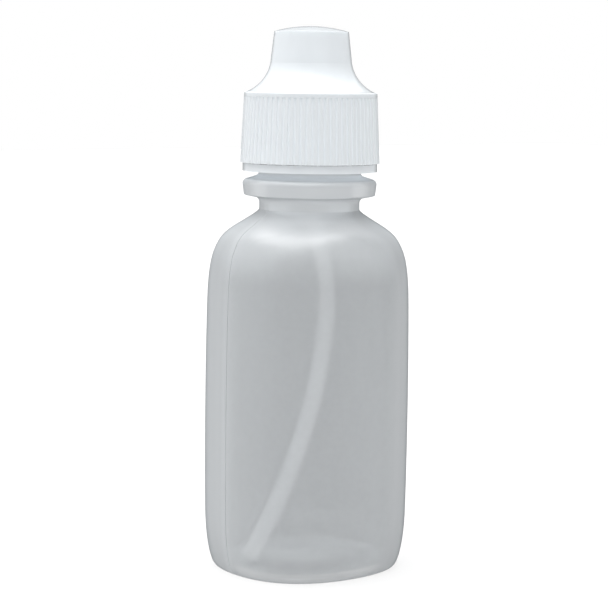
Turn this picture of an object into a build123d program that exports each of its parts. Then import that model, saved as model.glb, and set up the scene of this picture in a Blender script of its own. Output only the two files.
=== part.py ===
from build123d import *

import os
from math import cos, radians, sin

# Dropper bottle, 30 mL: a squeezable bottle with a dropper nozzle pressed into its neck, a dip tube
# that feeds the nozzle while the bottle stands upright, and a ribbed screw cap over a tamper band.
# Millimetres, +Z up. The origin is the centre of the standing ring, on the table.
# X runs along the mould's parting plane, which is the body's longer side.

# ---- bottle body ----
HALF_LENGTH = 16.0  # plan at the top of the wall, along X
HALF_WIDTH = 15.0  # the same, along Y
ROUND = 0.5523  # how far a quadrant's handles reach, of the half size, to draw an ellipse
PLAN_FULLNESS = 0.65  # the same for the body's plan, which is squarer than an ellipse
WALL_FLARE = 0.05  # the wall's foot stands this much further out than its top
WALL_TOP = 42.0
HEEL_HEIGHT = 10.5
HEEL_INSET = 1.9
WALL = 1.0
FLOOR = 1.2
PUSH_UP = 1.0  # how far the middle of the base is pushed up inside the standing ring
PUSH_UP_FOOT = (9.4, 8.4)  # its plan at the table
PUSH_UP_TOP = (7.2, 6.2)  # its plan at its flat top
PARTING_HEIGHT = 0.08  # the raised line where the mould halves met
PARTING_WIDTH = 0.5
# The shoulder: height, and the share of the way from the neck's circle out to the full plan
SHOULDER = [
    (44.5, 0.993),
    (47.0, 0.977),
    (49.2, 0.947),
    (51.0, 0.902),
    (52.6, 0.828),
    (54.0, 0.725),
    (55.3, 0.55),
    (56.5, 0.32),
    (57.4, 0.145),
    (57.9, 0.055),
]

# ---- neck ----
NECK_BASE = 58.4
TUCK = 0.15  # the shoulder's top tucks this far inside the neck's wall, so the surfaces cross cleanly
NECK_R = 8.1
BORE_R = 6.9
COLLAR_R = 10.9
COLLAR_BOTTOM = 60.7
COLLAR_TOP = 63.05
COLLAR_LEAN = 0.3  # its rim leans in by this much towards the bottom
COLLAR_UNDERSIDE_DROP = 0.5  # its underside falls by this much towards the neck
COLLAR_TOP_RISE = 0.85  # and its top rises by this much
COLLAR_FOOT_FILLET = 0.9
COLLAR_EDGE_FILLET = 0.25
COLLAR_TOP_FILLET = 0.8
NECK_WAIST_R = 8.2  # between the collar and the bead, where the tamper band turns
BEAD_BOTTOM = 65.5
BEAD_R = 9.3
BEAD_EDGE = 0.5  # height of the bead's upright edge, under its ramp
BEAD_TOP = 67.1
THREAD_ROOT_R = 8.7
THREAD_CREST_R = 9.6
LIP = 74.6
LIP_CHAMFER = 0.35
NECK_ROOT = 57.4  # the neck's solid form starts here, inside the shoulder
BORE_ROOT = 56.9  # the bore starts here, inside the cavity

# ---- screw thread, the same helix on neck and cap ----
PITCH = 3.175  # eight threads to the inch
THREAD_START = 69.0  # height of the neck thread's centre at angle 0
NECK_TURNS = 1.25
CAP_FIRST_TURN = 0.2  # where the cap's thread starts, in turns along the helix
CAP_TURNS = 1.0
THREAD_FOOT = 0.8  # half the thread's width at its root
THREAD_CREST = 0.35  # half its width at its crest
THREAD_SINK = 0.2  # how far a thread's root reaches into the wall that carries it
RADIAL_PLAY = 0.08
FLANK_PLAY = 0.05

# ---- dropper nozzle ----
NOZZLE_RIM_R = 8.4
NOZZLE_RIM_TOP = 75.5
PLUG_R = 6.87
PLUG_BOTTOM = 69.0
PLUG_WALL = 1.0
PLUG_LEAD_IN = (0.3, 0.8)  # depth and height of the taper round the plug's foot
SEAL_RING_R = 6.95
SEAL_RING_HEIGHTS = (71.0, 73.0)
SEAL_RING_FOOT = 0.5  # half the ring's height where it meets the plug
SEAL_RING_CREST = 0.15  # half its height at its crest
SEAL_RING_SINK = 0.2  # how far its root reaches into the plug
WEB_BOTTOM = 74.2
SOCKET_R = 2.5
SOCKET_BOTTOM = 66.5
TUBE_STOP = 73.4
CHANNEL_R = 0.9
CONE_FOOT_R = 4.5
CONE_MIDDLE = (2.75, 79.4)  # radius and height half way up the cone's hollow curve
TIP_R = 1.9
TIP_EDGE_R = 1.3
TIP_EDGE = 0.6  # height of the taper round the tip
TIP = 84.6
ORIFICE_R = 0.5
ORIFICE_LENGTH = 2.0
ORIFICE_FUNNEL = 0.5  # height of the cone between the channel and the orifice

# ---- dip tube ----
TUBE_R = 1.6
TUBE_BORE_R = 1.05
SOCKET_BORE_R = 1.59
# The coil it was cut from leaves it bowed: its centre line in the XZ plane, below the socket
TUBE_BOW = [(3.85, 45.2), (3.25, 35.8), (-1.7, 19.0), (-9.2, 5.3), (-11.3, 2.4)]
TUBE_START_DIRECTION = (0, 0, -1)
TUBE_END_DIRECTION = (-0.58, 0, -0.82)

# ---- screw cap ----
SKIRT_BOTTOM = 65.9
SKIRT_BOTTOM_R = 11.25
LEDGE = 77.05
LEDGE_R = 10.7
FLARE_TOP = (6.55, 81.8)  # radius and height
FLARE_MIDDLE = (7.98, 78.87)
STEM_TOP_R = 5.98
STEM_TOP = 86.85
DOME_TOP = 87.7
STEM_BORE_TOP = (5.0, 86.0)
STEM_BORE_FOOT = (5.45, 80.2)
FLARE_BORE = (6.9, 76.9)
PANEL_R = 7.2
PANEL = 75.56
SKIRT_RELIEF_R = 9.95
SKIRT_RELIEF_TOP = 67.4
SKIRT_RELIEF_RAMP = 0.3
RIBS = 72
GROOVE_R = 0.27
GROOVE_DEPTH = 0.17
GROOVE_TOP = 76.4
GROOVE_RUN_OUT = 1.0  # how far the cutter starts below the skirt

# ---- tip seal, carried in the top of the cap ----
SEAL_R = 4.95
SEAL_TOP = 85.96
SEAL_BOTTOM = 84.65
SEAL_PIN_R = 0.45
SEAL_PIN_LENGTH = 1.2

# ---- tamper band ----
BAND_R = 10.85
BAND_BOTTOM = 64.55
BAND_TOP = 65.82
BAND_WALL = 0.95
BAND_LIP = (64.75, 65.3)  # the inward lip that keeps the band under the neck's bead
BRIDGES = 24
BRIDGE_TOP = 65.87
BRIDGE_SIZE = (0.6, 0.45)
BRIDGE_SINK = 0.1  # how far each stub's root reaches into the band

os.makedirs("parts", exist_ok=True)


def plan_section(half_length, half_width, fullness, height):
    """One horizontal section of the body: four curved quadrants that meet square to the axes."""
    reach_x, reach_y = half_length * fullness, half_width * fullness
    with BuildSketch(Plane.XY.offset(height)) as section:
        with BuildLine():
            for side in (1, -1):
                end, flank = (side * half_length, 0), (0, side * half_width)
                Bezier(end, (end[0], side * reach_y), (side * reach_x, flank[1]), flank)
                other_end = (-end[0], 0)
                Bezier(flank, (-side * reach_x, flank[1]), (other_end[0], side * reach_y), other_end)
        make_face()
    return section.sketch


def body_sections(inward, neck_radius, lift, drop):
    """Every section of the body from base to neck, moved inward for the cavity or outward for a ridge.

    lift raises the base and drop lowers the shoulder, so that a cavity keeps its wall all round.
    """
    sections = []
    length, width = HALF_LENGTH - inward, HALF_WIDTH - inward
    for degrees in (90, 75, 60, 45, 30, 15, 0):
        height = lift + (HEEL_HEIGHT - lift) * (1 - sin(radians(degrees)))
        grow = WALL_FLARE - HEEL_INSET * (1 - cos(radians(degrees)))
        sections.append(plan_section(length + grow, width + grow, PLAN_FULLNESS, height))
    sections.append(plan_section(length, width, PLAN_FULLNESS, WALL_TOP - drop))
    for height, share in SHOULDER:
        half_length = neck_radius + (length - neck_radius) * share
        half_width = neck_radius + (width - neck_radius) * share
        fullness = ROUND + (PLAN_FULLNESS - ROUND) * share
        sections.append(plan_section(half_length, half_width, fullness, height - drop))
    tucked = neck_radius - TUCK
    sections.append(plan_section(tucked, tucked, ROUND, NECK_BASE + 4 * TUCK - drop))
    return sections


def push_up_sections(outward, lift):
    """The foot and the flat top of the push-up in the middle of the base."""
    foot_length, foot_width = PUSH_UP_FOOT
    top_length, top_width = PUSH_UP_TOP
    return [
        plan_section(foot_length + outward, foot_width + outward, PLAN_FULLNESS, lift),
        plan_section(top_length + outward, top_width + outward, PLAN_FULLNESS, lift + PUSH_UP),
    ]


def thread(radius, foot_radius, crest_radius, first_turn, turns, centre_shift):
    """One helical ridge with a tapered section, from its foot to its crest."""
    start = THREAD_START + centre_shift + first_turn * PITCH
    turn = Rot(0, 0, 360 * first_turn)
    with BuildPart() as ridge:
        with BuildLine() as path:
            Helix(PITCH, PITCH * turns, radius, center=(0, 0, start))
        with BuildSketch(Plane.XZ):
            with BuildLine():
                Polyline(
                    (foot_radius, start - THREAD_FOOT),
                    (foot_radius, start + THREAD_FOOT),
                    (crest_radius, start + THREAD_CREST),
                    (crest_radius, start - THREAD_CREST),
                    close=True,
                )
            make_face()
        sweep(path=path.line, is_frenet=True)
    return turn * ridge.part


# ---- bottle: outer form with its parting line, neck and thread, then hollowed ----
with BuildPart() as ridge_form:
    loft(body_sections(-PARTING_HEIGHT, NECK_R + PARTING_HEIGHT, 0, 0))
    Box(3 * HALF_LENGTH, PARTING_WIDTH, 2 * NECK_BASE, mode=Mode.INTERSECT)

with BuildPart() as cavity:
    loft(body_sections(WALL, BORE_R, FLOOR, WALL))
    loft(push_up_sections(WALL, FLOOR), mode=Mode.SUBTRACT)

neck_thread = thread(
    THREAD_ROOT_R, THREAD_ROOT_R - THREAD_SINK, THREAD_CREST_R, 0, NECK_TURNS, 0
)
collar_foot = (NECK_R, COLLAR_BOTTOM - COLLAR_UNDERSIDE_DROP)
collar_edge = (COLLAR_R - COLLAR_LEAN, COLLAR_BOTTOM)
collar_rim = (COLLAR_R, COLLAR_TOP)
collar_shoulder = (NECK_WAIST_R, COLLAR_TOP + COLLAR_TOP_RISE)

with BuildPart() as bottle:
    loft(body_sections(0, NECK_R, 0, 0))
    add(ridge_form.part)
    with BuildSketch(Plane.XZ) as neck_outline:
        with BuildLine():
            Polyline(
                (0, NECK_ROOT),
                (NECK_R, NECK_ROOT),
                collar_foot,
                collar_edge,
                collar_rim,
                collar_shoulder,
                (NECK_WAIST_R, BEAD_BOTTOM),
                (BEAD_R, BEAD_BOTTOM),
                (BEAD_R, BEAD_BOTTOM + BEAD_EDGE),
                (THREAD_ROOT_R, BEAD_TOP),
                (THREAD_ROOT_R, LIP),
                (0, LIP),
                close=True,
            )
        make_face()
        fillet(neck_outline.vertices().sort_by_distance(collar_foot)[0], COLLAR_FOOT_FILLET)
        fillet(neck_outline.vertices().sort_by_distance(collar_edge)[0], COLLAR_EDGE_FILLET)
        fillet(neck_outline.vertices().sort_by_distance(collar_rim)[0], COLLAR_TOP_FILLET)
        fillet(neck_outline.vertices().sort_by_distance(collar_shoulder)[0], COLLAR_TOP_FILLET)
        chamfer(neck_outline.vertices().sort_by_distance((THREAD_ROOT_R, LIP))[0], LIP_CHAMFER)
    revolve(axis=Axis.Z)
    add(neck_thread)
    add(cavity.part, mode=Mode.SUBTRACT)
    with BuildSketch(Plane.XY.offset(BORE_ROOT)):
        Circle(BORE_R)
    extrude(amount=LIP + WALL - BORE_ROOT, mode=Mode.SUBTRACT)
    loft(push_up_sections(0, 0), mode=Mode.SUBTRACT)

bottle.part.label = "bottle"
export_step(bottle.part, "parts/bottle.step")

# ---- dropper nozzle: hollow plug, rim, cone with the drop orifice, and a socket for the tube ----
with BuildPart() as dropper_nozzle:
    with BuildSketch(Plane.XZ):
        with BuildLine():
            Polyline(
                (CHANNEL_R, TUBE_STOP),
                (SOCKET_BORE_R, TUBE_STOP),
                (SOCKET_BORE_R, SOCKET_BOTTOM),
                (SOCKET_R, SOCKET_BOTTOM),
                (SOCKET_R, WEB_BOTTOM),
                (PLUG_R - PLUG_WALL, WEB_BOTTOM),
                (PLUG_R - PLUG_WALL, PLUG_BOTTOM),
                (PLUG_R - PLUG_LEAD_IN[0], PLUG_BOTTOM),
                (PLUG_R, PLUG_BOTTOM + PLUG_LEAD_IN[1]),
                (PLUG_R, LIP),
                (NOZZLE_RIM_R, LIP),
                (NOZZLE_RIM_R, NOZZLE_RIM_TOP),
                (CONE_FOOT_R, NOZZLE_RIM_TOP),
            )
            ThreePointArc((CONE_FOOT_R, NOZZLE_RIM_TOP), CONE_MIDDLE, (TIP_R, TIP - TIP_EDGE))
            Polyline(
                (TIP_R, TIP - TIP_EDGE),
                (TIP_EDGE_R, TIP),
                (ORIFICE_R, TIP),
                (ORIFICE_R, TIP - ORIFICE_LENGTH),
                (CHANNEL_R, TIP - ORIFICE_LENGTH - ORIFICE_FUNNEL),
                (CHANNEL_R, TUBE_STOP),
            )
        make_face()
    revolve(axis=Axis.Z)
    # sealing rings round the plug, a little larger than the neck's bore
    for height in SEAL_RING_HEIGHTS:
        with BuildSketch(Plane.XZ):
            with BuildLine():
                Polyline(
                    (PLUG_R - SEAL_RING_SINK, height - SEAL_RING_FOOT),
                    (SEAL_RING_R, height - SEAL_RING_CREST),
                    (SEAL_RING_R, height + SEAL_RING_CREST),
                    (PLUG_R - SEAL_RING_SINK, height + SEAL_RING_FOOT),
                    close=True,
                )
            make_face()
        revolve(axis=Axis.Z)

dropper_nozzle.part.label = "dropper_nozzle"
export_step(dropper_nozzle.part, "parts/dropper_nozzle.step")

# ---- dip tube: pushed into the socket, bowed, and resting in the heel at the -X end ----
with BuildPart() as dip_tube:
    with BuildLine() as tube_line:
        top = Line((0, 0, TUBE_STOP), (0, 0, SOCKET_BOTTOM))
        Spline(
            top @ 1,
            *[(x, 0, z) for x, z in TUBE_BOW],
            tangents=[TUBE_START_DIRECTION, TUBE_END_DIRECTION],
        )
    with BuildSketch(Plane.XY.offset(TUBE_STOP)):
        Circle(TUBE_R)
        Circle(TUBE_BORE_R, mode=Mode.SUBTRACT)
    sweep(path=tube_line.line)

dip_tube.part.label = "dip_tube"
export_step(dip_tube.part, "parts/dip_tube.step")

# ---- screw cap: ribbed skirt with the thread inside, flared into a hollow domed stem ----
CAP_BORE_R = THREAD_CREST_R + RADIAL_PLAY
CAP_CREST_R = THREAD_ROOT_R + RADIAL_PLAY
# flanks meet when the two centre lines are this far apart; the play is added to it
FLANK_SLOPE = (THREAD_FOOT - THREAD_CREST) / (THREAD_CREST_R - THREAD_ROOT_R)
FLANKS_TOUCH = 2 * THREAD_FOOT - FLANK_SLOPE * (CAP_BORE_R - THREAD_ROOT_R)
cap_thread = thread(
    CAP_BORE_R,
    CAP_BORE_R + THREAD_SINK,
    CAP_CREST_R,
    CAP_FIRST_TURN,
    CAP_TURNS,
    -(FLANKS_TOUCH + FLANK_PLAY),
)

skirt_lean = (SKIRT_BOTTOM_R - LEDGE_R) / (LEDGE - SKIRT_BOTTOM)


def skirt_radius(height):
    """The skirt's outer radius, which grows towards its foot."""
    return LEDGE_R + skirt_lean * (LEDGE - height)


groove_shift = GROOVE_R - GROOVE_DEPTH
groove_foot = SKIRT_BOTTOM - GROOVE_RUN_OUT
with BuildPart() as groove:
    with BuildLine() as groove_line:
        Line(
            (skirt_radius(groove_foot) + groove_shift, 0, groove_foot),
            (skirt_radius(GROOVE_TOP) + groove_shift, 0, GROOVE_TOP),
        )
    with BuildSketch(Plane(origin=groove_line.line @ 0, z_dir=groove_line.line % 0)):
        Circle(GROOVE_R)
    sweep(path=groove_line.line)

with BuildPart() as screw_cap:
    with BuildSketch(Plane.XZ):
        with BuildLine():
            ThreePointArc(
                (0, DOME_TOP),
                (STEM_TOP_R / 2, DOME_TOP - (DOME_TOP - STEM_TOP) / 4),
                (STEM_TOP_R, STEM_TOP),
            )
            Line((STEM_TOP_R, STEM_TOP), FLARE_TOP)
            ThreePointArc(FLARE_TOP, FLARE_MIDDLE, (LEDGE_R, LEDGE))
            Polyline(
                (LEDGE_R, LEDGE),
                (SKIRT_BOTTOM_R, SKIRT_BOTTOM),
                (SKIRT_RELIEF_R, SKIRT_BOTTOM),
                (SKIRT_RELIEF_R, SKIRT_RELIEF_TOP),
                (CAP_BORE_R, SKIRT_RELIEF_TOP + SKIRT_RELIEF_RAMP),
                (CAP_BORE_R, PANEL),
                (PANEL_R, PANEL),
                FLARE_BORE,
                STEM_BORE_FOOT,
                STEM_BORE_TOP,
                (0, STEM_BORE_TOP[1]),
                (0, DOME_TOP),
            )
        make_face()
    revolve(axis=Axis.Z)
    add(cap_thread)
    with PolarLocations(0, RIBS):
        add(groove.part, mode=Mode.SUBTRACT)

screw_cap.part.label = "screw_cap"
export_step(screw_cap.part, "parts/screw_cap.step")

# ---- tip seal: a soft plug in the top of the stem, its pin stopping the orifice ----
with BuildPart() as tip_seal:
    with BuildSketch(Plane.XZ):
        with BuildLine():
            Polyline(
                (0, SEAL_TOP),
                (SEAL_R, SEAL_TOP),
                (SEAL_R, SEAL_BOTTOM),
                (SEAL_PIN_R, SEAL_BOTTOM),
                (SEAL_PIN_R, SEAL_BOTTOM - SEAL_PIN_LENGTH),
                (0, SEAL_BOTTOM - SEAL_PIN_LENGTH),
                close=True,
            )
        make_face()
    revolve(axis=Axis.Z)

tip_seal.part.label = "tip_seal"
export_step(tip_seal.part, "parts/tip_seal.step")

# ---- tamper band: a loose ring under the cap, with the stubs of its broken bridges on top ----
with BuildPart() as tamper_band:
    with BuildSketch(Plane.XZ):
        with BuildLine():
            Polyline(
                (BAND_R, BAND_BOTTOM),
                (BAND_R, BAND_TOP),
                (BAND_R - BAND_WALL, BAND_TOP),
                (BAND_R - BAND_WALL, BAND_LIP[1]),
                (NECK_WAIST_R + RADIAL_PLAY, BAND_LIP[1]),
                (NECK_WAIST_R + RADIAL_PLAY, BAND_LIP[0]),
                (BAND_R - BAND_WALL, BAND_BOTTOM),
                close=True,
            )
        make_face()
    revolve(axis=Axis.Z)
    with BuildSketch(Plane.XY.offset(BAND_TOP - BRIDGE_SINK)):
        with PolarLocations(BAND_R - BAND_WALL / 2, BRIDGES):
            Rectangle(*BRIDGE_SIZE)
    extrude(amount=BRIDGE_TOP - BAND_TOP + BRIDGE_SINK)

tamper_band.part.label = "tamper_band"
export_step(tamper_band.part, "parts/tamper_band.step")
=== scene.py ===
from math import cos, radians, sin

import bpy
from mathutils import Matrix, Vector


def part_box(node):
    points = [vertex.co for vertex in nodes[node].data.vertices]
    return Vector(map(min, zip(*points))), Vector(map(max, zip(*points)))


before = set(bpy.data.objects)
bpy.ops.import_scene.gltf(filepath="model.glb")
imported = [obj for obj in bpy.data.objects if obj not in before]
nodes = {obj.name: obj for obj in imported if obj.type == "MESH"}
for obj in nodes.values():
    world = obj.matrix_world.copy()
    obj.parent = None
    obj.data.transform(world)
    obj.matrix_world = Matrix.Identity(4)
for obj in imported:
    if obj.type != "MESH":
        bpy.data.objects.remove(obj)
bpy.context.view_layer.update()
MM = 0.001


# ---- camera: 37 degrees round from the front, as high as the cap's flare, looking slightly down ----
AZIMUTH = radians(-37.0)
DISTANCE = 322 * MM
CAMERA_HEIGHT = 80 * MM
PITCH = radians(6.57)
PAN = radians(0.113)
ROLL = 0.0135
LENS = 118.0
SENSOR_WIDTH = 36.0
CLIP_START = 10 * MM
# how many clear surfaces a line of sight may cross
SEE_THROUGH_BOUNCES = 24


def aim_camera():
    camera = bpy.data.objects.new("camera", bpy.data.cameras.new("camera"))
    bpy.context.scene.collection.objects.link(camera)
    camera.data.sensor_width = SENSOR_WIDTH
    camera.data.lens = LENS
    camera.data.clip_start = CLIP_START
    eye = Vector((sin(AZIMUTH) * DISTANCE, -cos(AZIMUTH) * DISTANCE, CAMERA_HEIGHT))
    turn = (
        Matrix.Rotation(AZIMUTH + PAN, 4, "Z")
        @ Matrix.Rotation(radians(90) - PITCH, 4, "X")
        @ Matrix.Rotation(ROLL, 4, "Z")
    )
    camera.matrix_world = Matrix.Translation(eye) @ turn
    bpy.context.scene.camera = camera


class Shader:
    """A node tree with short calls: a value goes into an input as a number, a colour or a link."""

    def __init__(self, owner):
        owner.use_nodes = True
        self.tree = owner.node_tree
        self.tree.nodes.clear()

    def add(self, kind, inputs=None, **settings):
        node = self.tree.nodes.new(kind)
        for name, value in settings.items():
            setattr(node, name, value)
        for name, value in (inputs or {}).items():
            if isinstance(value, bpy.types.NodeSocket):
                self.tree.links.new(value, node.inputs[name])
            else:
                node.inputs[name].default_value = value
        return node

    # -- where a point is and how it is seen --

    def place(self, stretch=(1, 1, 1)):
        """Position on the piece in metres, stretched."""
        where = self.add("ShaderNodeTexCoord").outputs["Object"]
        return self.add("ShaderNodeMapping", {"Vector": where, "Scale": stretch}).outputs[0]

    def axis(self, name):
        """Position on the piece along one axis, in metres."""
        return self.add("ShaderNodeSeparateXYZ", {0: self.place()}).outputs[name]

    def upward(self):
        """1 where the surface looks straight up, 0 where it is upright and -1 on an underside."""
        normal = self.add("ShaderNodeNewGeometry").outputs["Normal"]
        return self.add("ShaderNodeSeparateXYZ", {0: normal}).outputs["Z"]

    def facing(self):
        """0 where the surface is seen head on and 1 where it is seen edge on."""
        return self.add("ShaderNodeLayerWeight", {"Blend": 0.5}).outputs["Facing"]

    def front(self):
        """1 where the surface is met from its own side and 0 from behind."""
        behind = self.add("ShaderNodeNewGeometry").outputs["Backfacing"]
        return self.maths("SUBTRACT", 1.0, behind)

    # -- sums --

    def noise(self, size, detail=2.0, stretch=(1, 1, 1)):
        """A noise between 0 and 1 whose features are about size metres across."""
        inputs = {"Vector": self.place(stretch), "Scale": 1 / size, "Detail": detail}
        return self.add("ShaderNodeTexNoise", inputs).outputs["Fac"]

    def ramp(self, value, span, to=(0.0, 1.0), smooth=True):
        """value over span becomes a value over to, held at the ends."""
        inputs = {
            "Value": value,
            "From Min": span[0],
            "From Max": span[1],
            "To Min": to[0],
            "To Max": to[1],
        }
        kind = "SMOOTHSTEP" if smooth else "LINEAR"
        return self.add("ShaderNodeMapRange", inputs, interpolation_type=kind).outputs[0]

    def band(self, value, middle, reach, flat, peak):
        """peak up to flat * reach from the middle, from there fading to 0 at reach."""
        offset = self.maths("ABSOLUTE", self.maths("SUBTRACT", value, middle))
        return self.ramp(offset, (flat * reach, reach), (peak, 0))

    def maths(self, operation, a, b=0.0):
        return self.add("ShaderNodeMath", {0: a, 1: b}, operation=operation).outputs[0]

    def times(self, a, b):
        return self.maths("MULTIPLY", a, b)

    def most(self, a, b):
        return self.maths("MAXIMUM", a, b)

    def mix(self, share, a, b):
        """The colour a where share is 0 and b where it is 1."""
        node = self.add("ShaderNodeMix", {0: share}, data_type="RGBA")
        for socket, value in ((node.inputs[6], a), (node.inputs[7], b)):
            if isinstance(value, bpy.types.NodeSocket):
                self.tree.links.new(value, socket)
            else:
                socket.default_value = (*value, 1)
        return node.outputs[2]

    # -- surfaces --

    def bump(self, height, distance, normal=None):
        inputs = {"Height": height, "Distance": distance, "Strength": 1.0}
        if normal is not None:
            inputs["Normal"] = normal
        return self.add("ShaderNodeBump", inputs).outputs[0]

    def principled(self, inputs):
        return self.add("ShaderNodeBsdfPrincipled", inputs).outputs[0]

    def veil(self, hides, surface):
        """surface where hides is 1, and clear where it is 0."""
        clear = self.add("ShaderNodeBsdfTransparent").outputs[0]
        return self.add("ShaderNodeMixShader", {0: hides, 1: clear, 2: surface}).outputs[0]

    def finish(self, surface):
        self.add("ShaderNodeOutputMaterial", {"Surface": surface})


def milky(grey):
    """A cool grey, as white plastic looks in studio light."""
    return (grey * 0.955, grey, grey * 1.035)


# ---- the bottle: milky polyethylene, blow moulded ----
POLYETHYLENE_IOR = 1.51
BODY_GREYS = (0.385, 0.415)  # streaks run between these two
CLOUD_GREY = 0.465  # small clouds in the plastic
TURNING_LIT_GREY = 0.485  # painted light where the wall starts to turn away from sight
END_GREY = 0.55  # towards the body's two ends
NECK_GREY = 0.55
GRAZED_SHADE_GREY = 0.40  # painted shade where sight meets the wall at a low angle
PAINTED_LIGHT_GREY = 0.85  # painted light in the whiter bands below
PARTING_HIGHLIGHT_GREY = 0.70  # painted highlight along the ridge where the mould parted
RIM_SHADE_GREY = 0.22  # painted shade along the outline
FLOOR_SHADE_GREY = 0.20  # painted shade on the inside of the floor
# a change from one grey to another takes place over a span: how far out along the body the ends
# start and are complete, and how wide the parting line is and fades
END_SPAN = (11.5 * MM, 15.8 * MM)
PARTING_SPAN = (0.3 * MM, 1.6 * MM)
# and heights, from the table up: the base's thick ring, the end of the inner floor's painted shade,
# the rise into the neck, the parting line's end, where the outline's painted shade grows paler above
# the shoulder and the collar's foot
RING_SPAN = (0.0, 3.5 * MM)
FLOOR_SPAN = (7 * MM, 11 * MM)
NECK_SPAN = (52 * MM, 60 * MM)
PARTING_END_SPAN = (57 * MM, 58 * MM)
RIM_SPAN = (58 * MM, 61 * MM)
COLLAR_SPAN = (60 * MM, 62 * MM)
# the base's light and dark bands, as its thick ring bends the light: from, to and grey
BASE_BANDS = [
    (3.4 * MM, 6.6 * MM, 0.52),
    (1.2 * MM, 3.6 * MM, 0.36),
    (0.2 * MM, 1.3 * MM, 0.80),
]
# painted light: whiter bands that spread the shoulder's highlight and lift the shade at the neck's
# root and on the collar's top under the band: height, reach and how much whiter
PAINTED_LIGHT_BANDS = [
    (51.2 * MM, 4.6 * MM, 0.24),
    (58.3 * MM, 2.2 * MM, 0.40),
    (63.7 * MM, 0.8 * MM, 1.0),
]


def body_tone(s, facing, mottle):
    """The body's grey: streaked, cloudy, paler at its two ends, and with painted light where the wall
    turns away from sight.
    """
    streaks = s.noise(7 * MM, 3, (1, 1, 0.2))
    ends = s.ramp(s.maths("ABSOLUTE", s.axis("X")), END_SPAN, (0, 0.24))
    tone = s.mix(streaks, milky(BODY_GREYS[0]), milky(BODY_GREYS[1]))
    tone = s.mix(s.ramp(mottle, (0.3, 0.7), (0, 0.2)), tone, milky(CLOUD_GREY))
    # painted light where the wall turns away from sight
    tone = s.mix(s.ramp(facing, (0.05, 0.45), (0, 0.15)), tone, milky(TURNING_LIT_GREY))
    return s.mix(ends, tone, milky(END_GREY))


def base_tone(s, tone, height, facing):
    """The inner floor, dim because the wall shades it, and the bands that the base's ring makes."""
    level = s.ramp(s.upward(), (0.2, 0.8))
    # painted shade on the inner floor, which faces up
    tone = s.mix(s.times(level, s.ramp(height, FLOOR_SPAN, (0.85, 0))), tone, milky(FLOOR_SHADE_GREY))
    centre = s.ramp(facing, (0.04, 0.30), (1, 0))
    for low, high, grey in BASE_BANDS:
        band = s.band(height, (low + high) / 2, (high - low) / 2, 0.2, 0.5)
        tone = s.mix(s.times(band, centre), tone, milky(grey))
    return tone


def neck_tone(s, tone, height, facing):
    """The neck's grey, with painted shade where it turns away and painted light in whiter bands on
    the shoulder, the neck's root and the collar's top.
    """
    tone = s.mix(s.ramp(height, NECK_SPAN), tone, milky(NECK_GREY))
    # painted shade where the neck turns away from sight
    tone = s.mix(s.ramp(facing, (0.36, 0.62), (0, 0.6)), tone, milky(GRAZED_SHADE_GREY))
    slanted = s.times(s.ramp(facing, (0, 0.15), (0.4, 1)), s.ramp(facing, (0.3, 0.6), (1, 0)))
    shown = s.most(slanted, s.ramp(height, COLLAR_SPAN))
    # painted light in whiter bands on the shoulder, at the neck's root and on the collar's top
    for middle, reach, share in PAINTED_LIGHT_BANDS:
        band = s.band(height, middle, reach, 0.1, share)
        tone = s.mix(s.times(band, shown), tone, milky(PAINTED_LIGHT_GREY))
    return tone


def line_tone(s, tone, height, facing):
    """A painted highlight along the ridge where the mould parted, and painted shade round the
    outline.
    """
    # painted highlight along the parting line's ridge
    parting = s.ramp(s.maths("ABSOLUTE", s.axis("Y")), PARTING_SPAN, (0.12, 0))
    parting = s.times(parting, s.ramp(height, PARTING_END_SPAN, (1, 0)))
    tone = s.mix(parting, tone, milky(PARTING_HIGHLIGHT_GREY))
    # painted shade round the outline, weaker above the shoulder
    rim = s.times(s.ramp(facing, (0.8, 0.97), (0, 0.8)), s.ramp(height, RIM_SPAN, (1, 0.3)))
    return s.mix(rim, tone, milky(RIM_SHADE_GREY))


def bottle_cover(s, height, facing):
    """How much a wall hides of what lies behind it."""
    # the inside of a wall is the second surface that sight meets, and covers most
    path = s.add("ShaderNodeLightPath")
    outer = s.maths("LESS_THAN", path.outputs["Transparent Depth"], 0.5)
    hides = s.ramp(outer, (0, 1), (0.93, 0.66))
    thick = s.most(s.ramp(height, RING_SPAN, (0.75, 0)), s.ramp(height, NECK_SPAN, (0, 0.8)))
    thick = s.most(thick, s.ramp(facing, (0.28, 0.55)))
    hides = s.maths("ADD", hides, s.times(thick, s.maths("SUBTRACT", 1.0, hides)))
    # light gets through more easily than sight, which lights the inside
    light = s.most(path.outputs["Is Shadow Ray"], path.outputs["Is Diffuse Ray"])
    hides = s.times(hides, s.ramp(light, (0, 1), (1.0, 0.22)))
    return s.times(hides, s.front())


def bottle_plastic():
    """The bottle's wall: a soft sheen, faint waves and a fine grain."""
    material = bpy.data.materials.new("bottle_plastic")
    s = Shader(material)
    mottle = s.noise(1.1 * MM, 4)
    height = s.axis("Z")
    facing = s.facing()
    tone = body_tone(s, facing, mottle)
    tone = base_tone(s, tone, height, facing)
    tone = neck_tone(s, tone, height, facing)
    tone = line_tone(s, tone, height, facing)
    grain = s.bump(s.noise(0.35 * MM, 2), 0.004 * MM)
    wall = s.principled({
        "Base Color": tone,
        "Roughness": s.ramp(mottle, (0.2, 0.8), (0.33, 0.41)),
        "IOR": POLYETHYLENE_IOR,
        "Specular IOR Level": s.ramp(facing, (0.35, 0.8), (1.0, 0.0)),
        "Normal": s.bump(s.noise(6 * MM, 2, (1, 1, 0.35)), 0.05 * MM, grain),
    })
    s.finish(s.veil(bottle_cover(s, height, facing), wall))
    return material


# ---- the dip tube: extruded polyethylene, whiter than the bottle ----
TUBE_GREYS = (0.73, 0.80)
# painted shade on the tube's upper side
TUBE_TOP_SHADE_GREY = 0.48
TUBE_GLOW = 4 * MM


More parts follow.
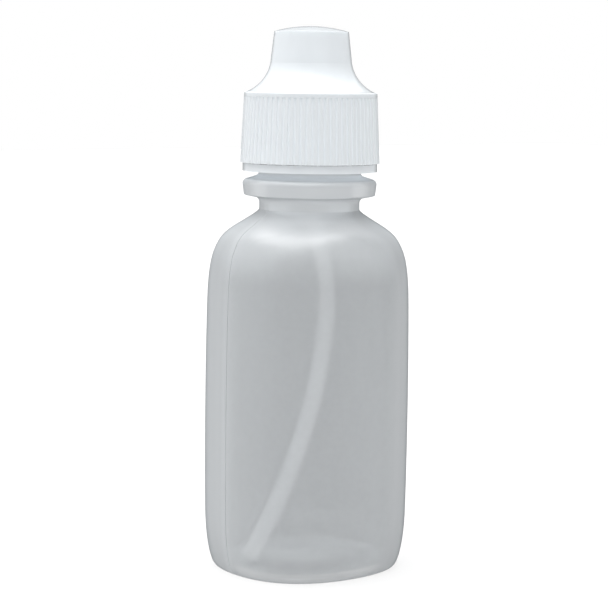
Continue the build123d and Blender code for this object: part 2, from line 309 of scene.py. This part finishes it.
def tube_plastic():
    """The tube, whose edges melt into the milky wall in front of it."""
    material = bpy.data.materials.new("tube_plastic")
    s = Shader(material)
    cloud = s.noise(2.5 * MM, 3, (1, 1, 0.3))
    tone = s.mix(cloud, milky(TUBE_GREYS[0]), milky(TUBE_GREYS[1]))
    # painted shade on the tube's upper side: the bottle scatters the light round the tube, so its
    # upper side isn't much brighter
    top = s.ramp(s.upward(), (-0.45, 0.45), (0, 0.85), smooth=False)
    tube = s.principled({
        "Base Color": s.mix(top, tone, milky(TUBE_TOP_SHADE_GREY)),
        "Roughness": s.ramp(cloud, (0.2, 0.8), (0.35, 0.5)),
        "IOR": POLYETHYLENE_IOR,
        "Specular IOR Level": 0.2,
        "Subsurface Weight": 1.0,
        "Subsurface Radius": (1.0, 1.0, 1.0),
        "Subsurface Scale": TUBE_GLOW,
        "Normal": s.bump(s.noise(0.5 * MM, 2), 0.004 * MM),
    })
    hides = s.times(s.ramp(s.facing(), (0.0, 0.8), (1.0, 0.0), smooth=False), s.front())
    s.finish(s.veil(hides, tube))
    return material


# ---- the white pieces: polypropylene, injection moulded ----
POLYPROPYLENE_IOR = 1.49
WHITE_GLOW = 1.0 * MM
# the skirt's radius over its ribs and its height, at its foot and under its ledge
SKIRT_FOOT = (11.25 * MM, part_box("screw_cap")[0][2])
SKIRT_TOP = (10.7 * MM, 77.05 * MM)
SKIRT_GREY = 0.60
SKIRT_FADE = 0.2 * MM
# light comes through a groove most at this depth, and makes it this grey
GROOVE_DEPTH = 0.16 * MM
GROOVE_GREY = 0.90
# the plain rim that runs round between the grooves' tops and the ledge
PLAIN_RIM = 0.75 * MM


def painted_edge_shade(s, tone, dark):
    """Painted shade on white plastic where it turns away from sight, and on a shallow top seen edge
    on.
    """
    facing = s.facing()
    tone = s.mix(s.ramp(facing, (0.66, 0.82), (0, 0.5)), tone, milky(dark * 0.35))
    tone = s.mix(s.ramp(facing, (0.82, 0.93), (0, 0.85)), tone, milky(dark * 0.25))
    # painted shade on up-facing tops seen edge on, where the light from above falls
    edge_on_shade = s.times(s.ramp(s.upward(), (0.88, 0.94), (0, 0.36)), s.ramp(facing, (0.6, 0.74)))
    return s.mix(edge_on_shade, tone, milky(dark * 0.35))


def skirt_tone(s, tone, dark):
    """Painted light in the thin floors of the skirt's grooves, where light comes through, and painted
    shade on the plain rim under the ledge.
    """
    height = s.axis("Z")
    across = s.times(s.axis("X"), s.axis("X"))
    along = s.times(s.axis("Y"), s.axis("Y"))
    radius = s.maths("SQRT", s.maths("ADD", across, along))
    heights = (SKIRT_FOOT[1], SKIRT_TOP[1])
    crest = s.ramp(height, heights, (SKIRT_FOOT[0], SKIRT_TOP[0]), smooth=False)
    depth = s.maths("SUBTRACT", crest, radius)
    below = s.ramp(height, (SKIRT_TOP[1], SKIRT_TOP[1] + SKIRT_FADE), (1, 0))
    tone = s.mix(s.times(below, 0.2), tone, milky(SKIRT_GREY))
    groove = s.ramp(depth, (0.0, GROOVE_DEPTH), (0, 0.55), smooth=False)
    tone = s.mix(s.times(groove, below), tone, milky(GROOVE_GREY))
    # painted shade on the plain rim under the ledge
    rim = s.band(height, SKIRT_TOP[1] - PLAIN_RIM / 2, 0.6 * PLAIN_RIM, 0.5, 0.12)
    return s.mix(rim, tone, milky(dark * 0.6))


def moulded_white(name, greys, roughness, glow, ribbed=False):
    """White plastic between two greys: a soft gloss, faint flow marks and a fine skin, with painted
    shade at its edges, and painted light and shade on a ribbed skirt.
    """
    material = bpy.data.materials.new(name)
    s = Shader(material)
    dark, light = greys
    flow = s.noise(5 * MM, 3, (1, 1, 0.4))
    speck = s.noise(0.6 * MM, 3)
    tone = s.mix(s.ramp(flow, (0.3, 0.7)), milky(dark), milky(light))
    tone = painted_edge_shade(s, tone, dark)
    if ribbed:
        tone = skirt_tone(s, tone, dark)
    grain = s.bump(speck, 0.003 * MM)
    s.finish(s.principled({
        "Base Color": tone,
        "Roughness": s.ramp(speck, (0.2, 0.8), (roughness - 0.04, roughness + 0.06)),
        "IOR": POLYPROPYLENE_IOR,
        "Specular IOR Level": s.ramp(s.facing(), (0.5, 0.85), (0.5, 0.0)),
        "Subsurface Weight": glow,
        "Subsurface Radius": (1.0, 1.0, 1.0),
        "Subsurface Scale": WHITE_GLOW,
        "Normal": s.bump(s.noise(3 * MM, 2), 0.02 * MM, grain),
    }))
    return material


def dress(node, material):
    """Gives a CAD node its material."""
    mesh = nodes[node].data
    mesh.materials.clear()
    mesh.materials.append(material)


def dress_pieces():
    dress("bottle", bottle_plastic())
    dress("dip_tube", tube_plastic())
    cap = moulded_white("cap_plastic", (0.745, 0.77), roughness=0.36, glow=0.4, ribbed=True)
    dress("screw_cap", cap)
    dress("tamper_band", moulded_white("band_plastic", (0.72, 0.75), roughness=0.36, glow=0.4))
    dress("dropper_nozzle", moulded_white("nozzle_plastic", (0.75, 0.80), roughness=0.38, glow=0.4))
    dress("tip_seal", moulded_white("seal_plastic", (0.80, 0.84), roughness=0.5, glow=0.2))


# ---- floor, sky and light: a white studio ----
FLOOR_SIZE = 3000 * MM
PAPER_GREYS = (0.50, 0.52)
PAPER_GLOW = 0.12
# the sky's brightness at the horizon and high up
SKY_LEVELS = (0.69, 0.85)
# dimmer patches of sky: azimuth, elevation, how near to its middle the patch starts, how much dimmer
DIM_PATCHES = [(-37, 10, 0.0, 0.17), (-120, 5, 0.2, 0.14), (100, 5, 0.1, 0.28)]
# a round softbox above, so far off that it lights the floor evenly
SOFTBOX_AT = (-141, 83)
SOFTBOX_ACROSS = radians(70)
SOFTBOX_STRENGTH = 4.4


def lay_floor():
    mesh = bpy.data.meshes.new("floor")
    half = FLOOR_SIZE / 2
    corners = [(-half, -half, 0), (half, -half, 0), (half, half, 0), (-half, half, 0)]
    mesh.from_pydata(corners, [], [(0, 1, 2, 3)])
    floor = bpy.data.objects.new("floor", mesh)
    bpy.context.scene.collection.objects.link(floor)
    paper = bpy.data.materials.new("paper")
    s = Shader(paper)
    dark, light = ((grey, grey, grey) for grey in PAPER_GREYS)
    s.finish(s.principled({
        "Base Color": s.mix(s.noise(20 * MM, 4), dark, light),
        "Roughness": 0.9,
        "Specular IOR Level": 0.0,
        "Emission Color": (1, 1, 1, 1),
        "Emission Strength": PAPER_GLOW,
    }))
    mesh.materials.append(paper)


def towards(azimuth, elevation):
    """A unit vector; azimuth 0 is the front of the object and 90 its right side."""
    a, e = radians(azimuth), radians(elevation)
    return (sin(a) * cos(e), -cos(a) * cos(e), sin(e))


def raise_sky():
    """Soft light from all round, a little dimmer in patches. The camera sees plain white."""
    world = bpy.data.worlds.new("studio")
    bpy.context.scene.world = world
    s = Shader(world)
    aim = s.add("ShaderNodeTexCoord").outputs["Generated"]
    rise = s.add("ShaderNodeSeparateXYZ", {0: aim}).outputs["Z"]
    sky = s.ramp(rise, (0.0, 0.9), SKY_LEVELS)
    for azimuth, elevation, start, dimmer in DIM_PATCHES:
        inputs = {0: aim, 1: towards(azimuth, elevation)}
        near = s.add("ShaderNodeVectorMath", inputs, operation="DOT_PRODUCT").outputs["Value"]
        sky = s.maths("SUBTRACT", sky, s.ramp(near, (start, 1.0), (0, dimmer)))
    grey = s.add("ShaderNodeCombineXYZ", {0: sky, 1: sky, 2: sky}).outputs[0]
    seen = s.add("ShaderNodeLightPath").outputs["Is Camera Ray"]
    shown = s.add("ShaderNodeBackground", {"Color": s.mix(seen, grey, (1, 1, 1)), "Strength": 1.0})
    s.add("ShaderNodeOutputWorld", {"Surface": shown.outputs[0]})


def hang_softbox():
    key = bpy.data.objects.new("overhead", bpy.data.lights.new("overhead", "SUN"))
    bpy.context.scene.collection.objects.link(key)
    key.data.energy = SOFTBOX_STRENGTH
    key.data.angle = SOFTBOX_ACROSS
    key.rotation_euler = Vector(towards(*SOFTBOX_AT)).to_track_quat("Z", "Y").to_euler()


bpy.context.scene.view_settings.view_transform = "Standard"
bpy.context.scene.cycles.transparent_max_bounces = SEE_THROUGH_BOUNCES
aim_camera()
dress_pieces()
lay_floor()
raise_sky()
hang_softbox()
